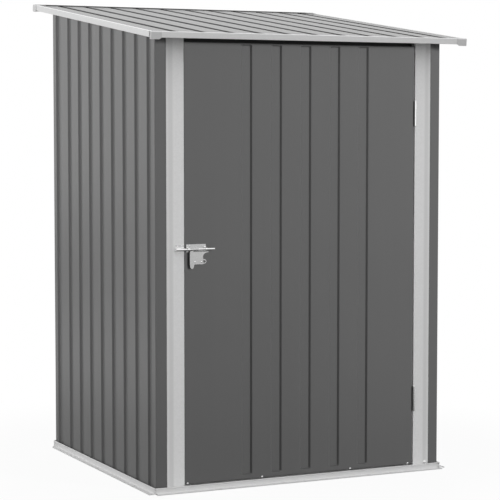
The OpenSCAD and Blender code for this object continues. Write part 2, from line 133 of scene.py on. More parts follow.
class ShedColours(bpy.types.PropertyGroup):
    """Colours of the finishes and the ground."""
    paint: grey("Paint", "Satin paint of the sheets", 0.088)
    silver: grey("Silver", "Galvanised trims", 0.86)
    rail: grey("Rail", "Galvanised base rails", 0.83)
    jamb: grey("Jamb", "Dull folded jambs", 0.95)
    zinc: grey("Zinc", "Plated guide plate, handle and rivets", 0.75)
    polish: grey("Polish", "Bright rod, straps, hinges and screws", 0.96)
    # Near-black colour of the door header: painted shade under the eave
    header_shade: grey("Header shade", "Dull strip over the doorway", 0.022)
    cap: grey("Cap", "Moulded corner caps", 0.71)
    ground: grey("Ground", "Studio floor", 0.60)


# Shader expressions

def maths(operation, turned=False):
    """Method that joins a value and another by a Math node, the other first where turned."""
    def method(self, other):
        a, b = (other, self) if turned else (self, other)
        return self.tree.node("ShaderNodeMath", {"operation": operation}, {0: a, 1: b})
    return method


class Value:
    """A shader value; arithmetic on it adds Math nodes to its tree."""
    __add__, __radd__ = maths("ADD"), maths("ADD", True)
    __sub__, __rsub__ = maths("SUBTRACT"), maths("SUBTRACT", True)
    __mul__, __rmul__ = maths("MULTIPLY"), maths("MULTIPLY", True)
    least = maths("MINIMUM")

    def __init__(self, tree, socket):
        self.tree, self.socket = tree, socket

    def ramp(self, low, high):
        """0 at low, 1 at high, smooth between."""
        return self.tree.node("ShaderNodeMapRange", {"interpolation_type": "SMOOTHSTEP"},
                              {"Value": self, "From Min": low, "From Max": high})


class Tree:
    """A material's or world's nodes, made by one method."""

    def __init__(self, owner):
        owner.use_nodes = True
        self.nodes, self.links = owner.node_tree.nodes, owner.node_tree.links
        self.nodes.clear()

    def node(self, kind, settings=None, sockets=None, out=0):
        """Makes a node: settings first, then its sockets' values or links; returns one output."""
        made = self.nodes.new(kind)
        for key, value in (settings or {}).items():
            setattr(made, key, value)
        for key, value in (sockets or {}).items():
            if isinstance(value, Value):
                self.links.new(value.socket, made.inputs[key])
            else:
                made.inputs[key].default_value = value
        return Value(self, made.outputs[out]) if made.outputs else None

    def mix(self, factor, a, b):
        """Colour between a and b."""
        return self.node("ShaderNodeMix", {"data_type": "RGBA"}, {0: factor, 6: a, 7: b}, 2)

    def about(self, factor, rgb, spread):
        """Colour that runs from a little darker than rgb to a little lighter."""
        return self.mix(factor, shade(rgb, 1 - spread), shade(rgb, 1 + spread))

    def noise(self, place, scale, detail=2.0):
        return self.node("ShaderNodeTexNoise", {}, {"Vector": place, "Scale": scale, "Detail": detail})

    def bump(self, height, strength, distance):
        return self.node("ShaderNodeBump", {}, {"Strength": strength, "Distance": distance, "Height": height})

    def place(self, stretch=None):
        """Object coordinates, stretched along the axes where asked."""
        here = self.node("ShaderNodeTexCoord", out=3)
        if stretch is None:
            return here
        return self.node("ShaderNodeMapping", {}, {"Vector": here, "Scale": stretch})

    def axis(self, k):
        """One of the Object coordinates x, y and z, by its number."""
        return self.node("ShaderNodeSeparateXYZ", {}, {0: self.place()}, k)

    def surface(self, sockets):
        body = self.node("ShaderNodeBsdfPrincipled", {}, sockets)
        self.node("ShaderNodeOutputMaterial", {}, {"Surface": body})

    def metal(self, colour, dull, height, strength, distance):
        """Bare metal with a fine relief."""
        self.surface({"Base Color": colour, "Metallic": 1.0, "Roughness": dull,
                      "Normal": self.bump(height, strength, distance)})


def shade(rgb, by):
    """Colour times a number, with alpha."""
    return (*[c * by for c in rgb], 1.0)


def paint_finish(tree, tones, **more):
    """Satin coating: fine orange peel, faint clouds in tone and gloss, faint runs down the sheet."""
    here = tree.place()
    clouds = tree.noise(here, 2.4, 4.0)
    peel = tree.noise(here, 900.0)
    runs = tree.noise(tree.place((38.0, 38.0, 1.1)), 1.0, 3.0)
    tree.surface({
        "Base Color": tree.about(clouds * 0.6 + runs * 0.4, tones.paint, 0.07),
        "Roughness": 0.26 + clouds * 0.05 + runs * 0.03,
        "Normal": tree.bump(peel, 0.05, 0.0004), **more,
    })


def roof_finish(tree, tones):
    """The same coating, washed to a clear gloss on the roof's flats and left dull in its grooves: the height
    square to the slope is (z - deck) cos - (y - front) sin, and the gloss starts just under the flats."""
    s = bpy.context.scene.shed_sizes
    high = (tree.axis(2) - DECK) * math.cos(SLOPE) - (tree.axis(1) - FRONT_Y) * math.sin(SLOPE)
    flats = s.depth + s.sheet
    start, full = flats - 0.0020, flats - 0.0003
    paint_finish(tree, tones, **{"IOR": 1.06, "Coat Weight": 0.74 * high.ramp(start, full),
                                 "Coat Roughness": 0.20, "Coat IOR": 1.4})


def strip_finish(tree, tone, dull, painted_shade=0.0):
    """Galvanised strip: small crystals change tone and gloss a little, with long rolling marks; darker by
    painted shade where asked."""
    crystals = tree.node("ShaderNodeSeparateColor", {}, {
        0: tree.node("ShaderNodeTexVoronoi", {}, {"Vector": tree.place(), "Scale": 210.0}, 1)})
    marks = tree.noise(tree.place((260.0, 260.0, 9.0)), 1.0)
    clean = tree.about(crystals * 0.7 + marks * 0.3, tone, 0.02)
    # The mix toward a darker tone is painted shade; the crystals and marks are the strip's own tone
    tree.metal(tree.mix(painted_shade, clean, shade(tone, 0.90)), dull + crystals * 0.05 + marks * 0.04,
               marks, 0.04, 0.0003)


def silver_finish(tree, tones):
    """Bright strip of the trims."""
    strip_finish(tree, tones.silver, 0.48)


def rail_finish(tree, tones):
    """Duller strip of the base rails."""
    strip_finish(tree, tones.rail, 0.62)


def jamb_finish(tree, tones):
    """Dull strip of the jambs, darkened by painted shade along the fold: some on the lap and most on the
    ramp.
    The shade grows with edge - |x|, the distance inward from the jamb's outer edge, and ends at the face."""
    edge = -LEFT_X - bpy.context.scene.shed_sizes.strip
    inward = edge - tree.node("ShaderNodeMath", {"operation": "ABSOLUTE"}, {0: tree.axis(0)})
    # Painted shade: the shading of the fold is darkened into the colour, a third on the lap and most on the
    # ramp
    painted_fold_shade = (0.32 + 0.53 * inward.ramp(0.004, 0.014)) * (1 - inward.ramp(0.018, 0.027))
    strip_finish(tree, tones.jamb, 0.82, painted_fold_shade)


def zinc_finish(tree, tones):
    """Bright plating: fine grain along X, slight stains."""
    grain = tree.noise(tree.place((60.0, 900.0, 900.0)), 1.0)
    stains = tree.noise(tree.place(), 90.0, 3.0)
    tree.metal(tree.about(stains * 0.6 + grain * 0.4, tones.zinc, 0.04), 0.22 + stains * 0.04 + grain * 0.04,
               grain, 0.06, 0.0002)


def polish_finish(tree, tones):
    """Bright drawn steel: a smooth mirror with fine drawing marks along X."""
    grain = tree.noise(tree.place((30.0, 1400.0, 1400.0)), 1.0)
    tree.metal(tree.about(grain, tones.polish, 0.03), 0.10 + grain * 0.05, grain, 0.03, 0.0001)


def header_shade_finish(tree, tones):
    """Header over the doorway, near-black as painted shade under the eave: soft clouds, little gloss."""
    clouds = tree.noise(tree.place(), 25.0, 3.0)
    tree.surface({
        "Base Color": tree.about(clouds, tones.header_shade, 0.2),
        "Roughness": 0.30 + clouds * 0.1,
        "IOR": 1.46,
    })


def cap_finish(tree, tones):
    """Metallic grey of the caps: matt, with a fine grain and faint clouds."""
    clouds = tree.noise(tree.place(), 30.0, 3.0)
    grain = tree.noise(tree.place(), 1400.0)
    tree.metal(tree.about(clouds, tones.cap, 0.06), 0.42 + clouds * 0.08, grain, 0.08, 0.0003)


FINISHES = {"paint": paint_finish, "roof": roof_finish, "silver": silver_finish, "rail": rail_finish,
            "jamb": jamb_finish, "zinc": zinc_finish, "polish": polish_finish, "header_shade": header_shade_finish,
            "cap": cap_finish}
SLOTS = {"paint": "painted_sheet", "roof": "painted_roof", "zinc": "zinc_hardware", "polish": "zinc_hardware",
         **dict.fromkeys(("silver", "rail", "jamb", "cap"), "galvanised_trim")}


def finish(name):
    """The material of that name, made on first use."""
    made = bpy.data.materials.get(name)
    if made is None:
        made = bpy.data.materials.new(name)
        FINISHES[name](Tree(made), bpy.context.scene.shed_colours)
    return made


# Surfaces

def rounded(points, radius, steps=4, closed=False):
    """Line with arcs at its corners: corner P becomes (1-t)^2 A + 2t(1-t) P + t^2 B, where A and B lie on
    its two sides at radius times the tangent of half the turn, or nearer where a side is short."""
    p = np.asarray(points, float)
    a, b = np.roll(p, 1, 0) - p, np.roll(p, -1, 0) - p
    la, lb = np.linalg.norm(a, axis=1), np.linalg.norm(b, axis=1)
    a, b = a / la[:, None], b / lb[:, None]
    turn = np.pi - np.arccos(np.clip((a * b).sum(1), -1, 1))
    sharpest, most = 3.0, 0.46
    cut = np.minimum(radius * np.tan(np.minimum(turn, sharpest) / 2), most * np.minimum(la, lb))
    if not closed:
        cut[[0, -1]] = 0
    t = np.linspace(0, 1, steps + 1)[None, :, None]
    start, end = (p + a * cut[:, None])[:, None], (p + b * cut[:, None])[:, None]
    line = ((1 - t) ** 2 * start + 2 * t * (1 - t) * p[:, None] + t ** 2 * end).reshape(-1, p.shape[1])
    line = line[np.r_[True, np.linalg.norm(np.diff(line, axis=0), axis=1) > 1e-6]]
    return line[:-1] if closed and np.linalg.norm(line[0] - line[-1]) < 1e-6 else line


def quads(rows, cols, wrap=False):
    """Faces of a grid numbered row by row; wrap joins the last column to the first."""
    r, c = np.meshgrid(np.arange(rows - 1), np.arange(cols if wrap else cols - 1), indexing="ij")
    d = (c + 1) % cols
    return np.stack([r * cols + c, r * cols + d, (r + 1) * cols + d, (r + 1) * cols + c], -1).reshape(-1, 4)


class Skin:
    """Points and faces of one piece, gathered shape by shape."""

    def __init__(self):
        self.points, self.faces, self.count = [], [], 0

    def add(self, points, *faces):
        points = np.asarray(points, float).reshape(-1, 3)
        self.points.append(points)
        self.faces += [face for group in faces for face in (np.asarray(group) + self.count).tolist()]
        self.count += len(points)
        return self

    def loft(self, rings, wrap=True, ends=True):
        """Surface through rings of equal length (rings, points, 3), with flat ends."""
        rings = np.asarray(rings, float)
        n, m = rings.shape[:2]
        caps = [[np.arange(m)[::-1]], [np.arange(m) + (n - 1) * m]] if ends else []
        return self.add(rings, quads(n, m, wrap), *caps)

    def sheet(self, rows):
        """Open surface through rows of points."""
        return self.loft(rows, False, False)

    def turned(self, profile, centre, axis, steps, closed=False):
        """Profile of (radius, distance along the axis) turned once round an axis through centre:
        point = centre + along * axis + radius * (cos u * e1 + sin u * e2)."""
        profile, axis = np.asarray(profile, float), np.asarray(axis, float)
        e1 = np.cross(axis, (0.3, 0.5, 0.81))
        e1 /= np.linalg.norm(e1)
        e2 = np.cross(axis, e1)
        u = np.linspace(0, 2 * np.pi, steps, endpoint=False)
        spin = np.cos(u)[:, None] * e1 + np.sin(u)[:, None] * e2
        rings = np.asarray(centre) + profile[:, None, 1:] * axis + profile[:, None, :1] * spin
        return self.loft(np.concatenate([rings, rings[:1]]) if closed else rings, True, not closed)

    def mirrored(self):
        """The same shape on the other side of X = 0."""
        other = Skin()
        other.points = [p * (-1, 1, 1) for p in self.points]
        other.faces, other.count = [f[::-1] for f in self.faces], self.count
        return other

    def piece(self, name, look, body, nodes=(), outward=None, wall=0.0, bevel=0.0, smooth=32):
        """Makes the object: faces turned outward, edges past the smooth angle and open edges kept sharp, wall
        thickness inward by Solidify, small edges rounded by Bevel, flats shaded flat by Weighted Normal."""
        mesh = bpy.data.meshes.new(name)
        mesh.from_pydata(np.concatenate(self.points).tolist(), [], self.faces)
        work = bmesh.new()
        work.from_mesh(mesh)
        bmesh.ops.remove_doubles(work, verts=work.verts, dist=1e-7)
        bmesh.ops.recalc_face_normals(work, faces=work.faces)
        work.to_mesh(mesh)
        work.free()
        if outward is not None:
            area, facing = np.empty(len(mesh.polygons)), np.empty((len(mesh.polygons), 3))
            mesh.polygons.foreach_get("area", area)
            mesh.polygons.foreach_get("normal", facing.ravel())
            if area @ (facing @ outward) < 0:
                mesh.flip_normals()
        mesh.shade_smooth()
        mesh.set_sharp_from_angle(angle=math.radians(smooth))
        used, sharp = np.empty(len(mesh.loops), int), np.empty(len(mesh.edges), bool)
        mesh.loops.foreach_get("edge_index", used)
        mesh.edges.foreach_get("use_edge_sharp", sharp)
        mesh.edges.foreach_set("use_edge_sharp", sharp | (np.bincount(used, minlength=len(sharp)) == 1))
        made = bpy.data.objects.new(name, mesh)
        bpy.context.scene.collection.objects.link(made)
        mesh.materials.append(finish(look))
        if bevel:
            edge = made.modifiers.new("rounded edges", "BEVEL")
            edge.width, edge.segments = bevel, 2
            edge.limit_method, edge.angle_limit = "ANGLE", math.radians(40)
        if wall:
            skin = made.modifiers.new("sheet", "SOLIDIFY")
            skin.thickness, skin.offset, skin.use_even_offset = wall, -1.0, True
        made.modifiers.new("flat faces", "WEIGHTED_NORMAL").keep_sharp = True
        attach(made, body)
        if nodes:
            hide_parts(*nodes)
        return made


def rolled(a, b, centres, mouth, floor, depth):
    """Rolled sheet from a to b: 0 on the flats, -depth on the floors, straight flanks between. A sheet that
    starts or ends at a groove's centre starts or ends on its floor."""
    c = np.asarray(centres, float)
    knots = (c[:, None] + np.array([-mouth, -floor, floor, mouth]) / 2).ravel()
    level = np.tile([0.0, -depth, -depth, 0.0], len(c))
    inside = (knots > a + 1e-6) & (knots < b - 1e-6)
    ends = np.interp([a, b], knots, level)
    return np.column_stack([np.r_[a, knots[inside], b], np.r_[ends[0], level[inside], ends[1]]])


def deck(y):
    """Underside of the roof at depth y: a plane that climbs to the rear."""
    return DECK + (y - FRONT_Y) * math.tan(SLOPE)


def on_roof(x, y, z):
    """Points given along the roof's slope, z square to it, in the shed's frame."""
    x, y, z = np.broadcast_arrays(np.asarray(x, float), y, z)
    c, s = math.cos(SLOPE), math.sin(SLOPE)
    return np.stack([x, FRONT_Y + y * c - z * s, DECK + y * s + z * c], -1)


def roof_span(s):
    """Height of the roof's flats over its underside, and the sheets' start and end along the slope."""
    lo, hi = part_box("roof_panel_left")
    rise = s.depth + s.sheet
    start = (lo[1] - FRONT_Y + rise * math.sin(SLOPE)) / math.cos(SLOPE)
    return rise, start, (hi[1] - FRONT_Y) / math.cos(SLOPE)


def upright(plan, radius):
    """Upright sheet: a plan line with rounded bends, from the base rail's web up to the roof's underside."""
    line = rounded(plan, radius)
    low = np.column_stack([line, np.full(len(line), SEAT_Z)])
    high = np.column_stack([line, deck(line[:, 1])])
    return Skin().sheet([low, high])


def dome(radius, high):
    """Profile of a rivet's head: along = high sqrt(1 - (r / radius)^2), from just under the seat."""
    v = np.linspace(0, 1, 7) * (np.pi / 2 - 0.03)
    return np.concatenate([[(radius, -0.0004)], np.column_stack([radius * np.cos(v), high * np.sin(v)])])


def eased(radius, a, b, ease, share):
    """Profile of a round bar from a to b with eased ends: the radius is less by ease at the very end, by a
    share of it a little further in, and full from ease on."""
    bit = share * ease
    return [(radius - ease, a), (radius - bit, a + bit), (radius, a + ease),
            (radius, b - ease), (radius - bit, b - bit), (radius - ease, b)]


def block(lo, hi):
    """Square-edged bar between two corners, as a loft of two rings along X."""
    (x0, y0, z0), (x1, y1, z1) = lo, hi
    ring = np.array([[y0, z0], [y1, z0], [y1, z1], [y0, z1]])
    return [np.column_stack([np.full(4, x), ring]) for x in (x0, x1)]


# Steps

class Step:
    """What the shed's operators share."""
    bl_options = {"REGISTER"}

    def execute(self, context):
        self.build(context.scene.shed_sizes)
        return {"FINISHED"}


class SHED_OT_stage(Step, bpy.types.Operator):
    """Camera at the photograph's angle, pale floor, white surround and soft lamps"""
    bl_idname, bl_label = "shed.stage", "Studio"

    def build(self, s):
        scene = bpy.context.scene
        scene.view_settings.view_transform = "Standard"
        self.camera(scene)
        self.lamps(scene)
        self.surround(scene)
        self.floor(scene)

    @staticmethod
    def camera(scene):
        """Camera fitted to the photograph's edges."""
        eye = bpy.data.objects.new("camera", bpy.data.cameras.new("camera"))
        eye.location = (-2.6700, -5.7104, 1.1731)
        eye.rotation_euler = (math.radians(86.02), 0.0, math.radians(-25.35))
        eye.data.lens, eye.data.sensor_width = 129.36, 36.0
        scene.collection.objects.link(eye)
        scene.camera = eye

    @staticmethod
    def lamps(scene):
        """Round lamps aimed at the shed's middle: name, place, width in metres and power in watts."""
        middle = Vector((0, 0, 0.75))
        for name, where, wide, power in (("key", (3.2, -6.3, 2.1), 1.0, 470.0),
                                         ("side", (-4.6, 0.3, 1.85), 1.6, 185.0),
                                         ("rear", (3.0, 6.0, 1.8), 2.0, 280.0)):
            lamp = bpy.data.objects.new(name, bpy.data.lights.new(name, "AREA"))
            lamp.data.shape, lamp.data.size, lamp.data.energy = "DISK", wide, power
            lamp.location, lamp.visible_glossy = where, False
            lamp.rotation_euler = (middle - lamp.location).to_track_quat("-Z", "Y").to_euler()
            scene.collection.objects.link(lamp)

    def surround(self, scene):
        """White where it is seen, dim as a light on matt surfaces."""
        dim = (0.07, 0.07, 0.07, 1)
        scene.world = bpy.data.worlds.new("surround")
        sky = Tree(scene.world)
        light = sky.mix(self.seen(sky), dim, WHITE)
        sky.node("ShaderNodeOutputWorld", {}, {"Surface": sky.node(
            "ShaderNodeBackground", {}, {"Color": light, "Strength": 1.0})})

    @staticmethod
    def seen(tree):
        """1 for rays that see the background: straight, mirrored or through glass."""
        rays = [tree.node("ShaderNodeLightPath", out=k) for k in
                ("Is Camera Ray", "Is Glossy Ray", "Is Transmission Ray")]
        return (rays[0] + rays[1] + rays[2]).least(1.0)

    def floor(self, scene):
        """Round floor, r = reach v^3 for v from 0.05 to 1: fine rings near the shed."""
        reach, rounds, spokes, below = 60, 12, 48, -0.0004
        r = np.linspace(0.05, 1, rounds)[:, None] ** 3 * reach
        u = np.linspace(0, 2 * np.pi, spokes, endpoint=False)
        rings = np.stack([r * np.cos(u), r * np.sin(u), np.full((rounds, spokes), below)], -1)
        mesh = bpy.data.meshes.new("ground")
        shape = Skin().loft(rings, True, False).add(rings[0], [np.arange(spokes)])
        mesh.from_pydata(np.concatenate(shape.points).tolist(), [], shape.faces)
        mesh.materials.append(self.ground_look(scene.shed_colours.ground))
        ground = bpy.data.objects.new("ground", mesh)
        scene.collection.objects.link(ground)

    def ground_look(self, tone):
        """Matt grey under the light. The camera sees it nearly white, and white away from the shed. A mirror
        sees
        it glow: dark near the shed as painted shade, white at a distance, and paler at the shed's sides and
        rear than in front of it as painted light."""
        look = bpy.data.materials.new("ground")
        tree = Tree(look)
        away = tree.node("ShaderNodeVectorMath", {"operation": "LENGTH"}, {0: tree.place()}, 1)
        grain = tree.noise(tree.place(), 40.0, 3.0)
        matt = tree.node("ShaderNodeBsdfDiffuse", {}, {"Color": tree.about(grain, tone, 0.01)})
        straight = tree.node("ShaderNodeLightPath", out="Is Camera Ray")
        mirrored = self.seen(tree) - straight
        near = 0.95 + 0.05 * away.ramp(0.8, 1.6)
        # Painted shade and light for mirrors: the glow is dark near the shed in place of its shadow, paler at
        # its sides and rear
        beside = tree.axis(1).ramp(-1.2, 0.0) * (1 - away.ramp(3.0, 9.0))
        shaded_mirror_glow = 0.06 + 0.34 * away.ramp(0.9, 3.2) + 0.60 * away.ramp(8.0, 30.0) + 0.31 * beside
        glow = tree.mix(mirrored, WHITE, tree.mix(shaded_mirror_glow, BLACK, WHITE))
        bright = tree.node("ShaderNodeEmission", {}, {"Color": glow, "Strength": 1.0})
        tree.node("ShaderNodeOutputMaterial", {}, {"Surface": tree.node(
            "ShaderNodeMixShader", {}, {0: straight * near + mirrored, 1: matt, 2: bright})})
        return look


class SHED_OT_walls(Step, bpy.types.Operator):
    """Rolled side, rear and corner sheets"""
    bl_idname, bl_label = "shed.walls", "Wall sheets"

    def build(self, s):
        centres = FIRST + np.arange(s.side_grooves) * s.pitch
        self.side_sheets(s, centres)
        self.front_corners(s)
        self.rear_corners(s, FRONT_Y + centres[-1])
        self.rear_sheets(s)

    def side_sheets(self, s, centres):
        """The two sheets of a side wall, which meet on the floor of its middle groove."""
        mid = centres[(len(centres) - 1) // 2]
        for part, a, b in (("front", centres[0], mid), ("rear", mid, centres[-1])):
            line = rolled(a, b, centres, s.mouth, s.floor, s.depth)
            sheet = upright(np.column_stack([LEFT_X - line[:, 1], FRONT_Y + line[:, 0]]), s.bend)
            self.pair(s, sheet, f"wall_{part}_panel", (-1, 0, 0))

    def front_corners(self, s):
        """A front corner sheet: the strip that runs behind the jamb, the round corner and half a groove. The
        notch in the strip's top is a cell left out of the grid's upper row; a tab behind closes it."""
        tuck, run, below, beside = 0.011, 0.02, 0.006, 0.005
        y, deep = FRONT_Y + FIRST, LEFT_X + s.depth
        lap, edge = LEFT_X + s.strip + tuck, LEFT_X + s.strip - s.notch
        corner = rounded([[edge, FRONT_Y], [LEFT_X, FRONT_Y], [LEFT_X, FRONT_Y + run]], s.corner, 6)
        groove = [[LEFT_X, y - s.mouth / 2], [deep, y - s.floor / 2], [deep, y]]
        line = np.concatenate([[[lap, FRONT_Y]], rounded(np.concatenate([corner, groove]), s.bend)])
        top = deck(line[:, 1])
        rows = [np.column_stack([line, z]) for z in (0 * top + SEAT_Z, top - s.notch_drop, top)]
        sheet = Skin().add(rows, np.delete(quads(3, len(line)), len(line) - 1, 0))
        self.pair(s, sheet, "corner_panel", (-1, -1, 0), "front_")
        high = deck(FRONT_Y)
        tab = Skin().loft(block((edge - beside, FRONT_Y + s.sheet, high - s.notch_drop - below),
                                (lap, FRONT_Y + 2 * s.sheet, high)))
        tab.piece("corner_tab_left", "paint", "shed")
        tab.mirrored().piece("corner_tab_right", "paint", "shed")

    def rear_corners(self, s, y):
        """A rear corner sheet: half of the side's last, wider groove, the corner and half a groove."""
        x, deep = REAR_FIRST, LEFT_X + s.depth
        plan = [[deep, y], [deep, y + s.floor / 2 + s.rear_extra], [LEFT_X, y + s.mouth / 2 + s.rear_extra],
                [LEFT_X, REAR_Y], [x - s.mouth / 2, REAR_Y], [x - s.floor / 2, REAR_Y - s.depth],
                [x, REAR_Y - s.depth]]
        self.pair(s, upright(plan, s.bend), "corner_panel", (-1, 1, 0), "rear_")

    @staticmethod
    def rear_sheets(s):
        """The two sheets of the rear wall, which meet on the floor of its middle groove."""
        grooves = round(-2 * REAR_FIRST / s.pitch) + 1
        centres = REAR_FIRST + np.arange(grooves) * s.pitch
        mid = centres[(grooves - 1) // 2]
        for side, a, b in (("left", centres[0], mid), ("right", mid, centres[-1])):
            line = rolled(a, b, centres, s.mouth, s.floor, s.depth)
            sheet = upright(np.column_stack([line[:, 0], REAR_Y + line[:, 1]]), s.bend)
            name = f"rear_wall_{side}_panel"
            sheet.piece(name + "_sheet", "paint", "shed", (name,), outward=(0, 1, 0), wall=s.sheet)

    @staticmethod
    def pair(s, skin, name, outward, before=""):
        """A left sheet and its mirror on the right."""
        for side, shape, way in (("left", skin, 1), ("right", skin.mirrored(), -1)):
            node = f"{before}{side}_{name}"
            shape.piece(node + "_sheet", "paint", "shed", (node,), outward=(outward[0] * way, *outward[1:]),
                        wall=s.sheet)


class SHED_OT_doorway(Step, bpy.types.Operator):
    """Folded jambs with a lap, a shallow ramp, a face, a reveal and a door stop"""
    bl_idname, bl_label = "shed.doorway", "Door jambs"

    def build(self, s):
        play, lap_end, ramp_end = 0.0009, 0.011, 0.023
        nose, nose_side, nose_root = 0.001, 0.002, 0.004
        x, tip = LEFT_X + s.strip + play, OPEN_L + nose
        lap, stop = FRONT_Y - s.fold, STOP_Y - s.fold
        plan = [[OPEN_L + STOP_WIDE, stop], [OPEN_L, stop], [OPEN_L, JAMB_Y + nose_root],
                [tip, JAMB_Y + nose_side], [tip, JAMB_Y], [x + ramp_end, JAMB_Y], [x + lap_end, lap],
                [x, lap]]
        jamb = upright(plan, s.crease)
        for side, skin in (("left", jamb), ("right", jamb.mirrored())):
            skin.piece(f"jamb_{side}", "jamb", "shed", (f"door_jamb_{side}",), outward=(0, -1, 0),
                       wall=s.fold)


class SHED_OT_base(Step, bpy.types.Operator):
    """Base rails with a hemmed foot, an outer lip, an inner upstand, mitred corners and side joints"""
    bl_idname, bl_label = "shed.base", "Base rails"

    def build(self, s):
        middle, lift = (FRONT_Y + REAR_Y) / 2, 0.0002
        wide, deep = -LEFT_X, (REAR_Y - FRONT_Y) / 2
        sides = {
            "front": ((0, FRONT_Y), (1, 0), (0, -1), wide, 2 * SEAT_Z, 0.0),
            "rear": ((0, REAR_Y), (-1, 0), (0, 1), wide, RAIL_Z, s.slant),
            "left": ((LEFT_X, middle), (0, -1), (-1, 0), deep, RAIL_Z, s.slant),
            "right": ((-LEFT_X, middle), (0, -1), (1, 0), deep, RAIL_Z, s.slant),
        }
        for side, where in sides.items():
            skin = Skin().loft(self.run(s, *where))
            if side == "front":
                skin.loft(block((OPEN_L + STOP_WIDE, STOP_Y - s.fold, lift),
                                (OPEN_R - STOP_WIDE, STOP_Y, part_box("base_rail_front")[1][2])))
            skin.piece(f"rail_{side}", "rail", "shed", (f"base_rail_{side}",), smooth=40)

    @staticmethod
    def run(s, mid, along, out, half, upstand, slant):
        """The rail's section (n out from the wall, z up) carried along its side. Point n ends at half + n
        inside the lip's outer face, which mitres the corners; the foot ends square with that face, slanted at
        the rear end. The lip's top has a bead. A side rail has a joint, where the section is drawn in."""
        w, t, lip, heel, inner = SEAT_Z, s.fold, 0.006, -0.030, -s.depth - s.sheet
        joint, step, drawn, ease = -0.1125, 0.0004, 0.0007, 0.0005
        tip = FRONT_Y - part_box("base_rail_front")[0][1]
        bead = np.array([[0, -0.0040], [0.0013, -0.0034], [0.0018, -0.0019], [0.0013, -0.0005], [0, 0]])
        section = rounded(np.concatenate([
            [[heel, 0], [tip, 0], [tip, 2 * w], [tip - t, 2 * w], [tip - t, w], [lip, w]],
            bead + (lip, RAIL_Z),
            [[lip - t, RAIL_Z], [lip - t, w], [inner, w], [inner, upstand], [inner - t, upstand],
             [inner - t, w], [heel, w]]]), ease, 2, True)
        n, z = section[:, 0], section[:, 1]
        reach = half + np.minimum(n, lip)
        back = reach - slant * np.maximum(n - lip, 0) / (tip - lip)
        rows = [(-back, 0.0), (reach if out[0] else back, 0.0)]
        if out[0]:
            rows[1:1] = [(joint + k * step + 0 * n, draw)
                         for k, draw in ((-2, 0.0), (-1, drawn), (1, drawn), (2, 0.0))]
        rings = []
        for at, draw in rows:
            base = np.asarray(mid) + (n - draw)[:, None] * np.asarray(out) + at[:, None] * np.asarray(along)
            rings.append(np.column_stack([base, np.where(z > 0.001, z - 0.5 * draw, z)]))
        return rings


class SHED_OT_roof(Step, bpy.types.Operator):
    """Rolled roof sheets along the slope, with a turned-up strip at the rear"""
    bl_idname, bl_label = "shed.roof", "Roof sheets"

    def build(self, s):
        rise, y0, y1 = roof_span(s)
        centres = s.roof_first - ROOF_X + np.arange(s.roof_grooves) * s.roof_pitch
        centres = np.r_[centres, centres[-1] + s.roof_last]
        mid = centres[s.roof_grooves // 2]
        for side, a, b in (("left", -ROOF_X, mid), ("right", mid, ROOF_X)):
            line = rounded(rolled(a, b, centres, s.roof_mouth, s.roof_floor, s.depth), s.crease / 2)
            rows = [on_roof(line[:, 0], y, line[:, 1] + rise) for y in (y0, y1)]
            Skin().sheet(rows).piece(f"roof_sheet_{side}", "roof", "shed", (f"roof_panel_{side}",),
                                     outward=(0, 0, 1), wall=s.sheet)
        self.rear_strip(s, rise, y1)

    @staticmethod
    def rear_strip(s, rise, y1):
        """A flat foot and a low upstand with a small bend between, carried across the roof."""
        foot, lift, bend, inset, clear, wall = 0.007, 0.0003, 0.0006, 0.0135, 0.001, 0.0005
        end = rounded([[-foot, lift], [0, lift], [0, s.upstand]], bend, 3)
        half = ROOF_X - clear
        rows = [on_roof(x, y1 - inset + end[:, 0], rise + end[:, 1]) for x in (-half, half)]
        Skin().sheet(rows).piece("roof_end", "roof", "shed", outward=(0, -1, 0), wall=wall)


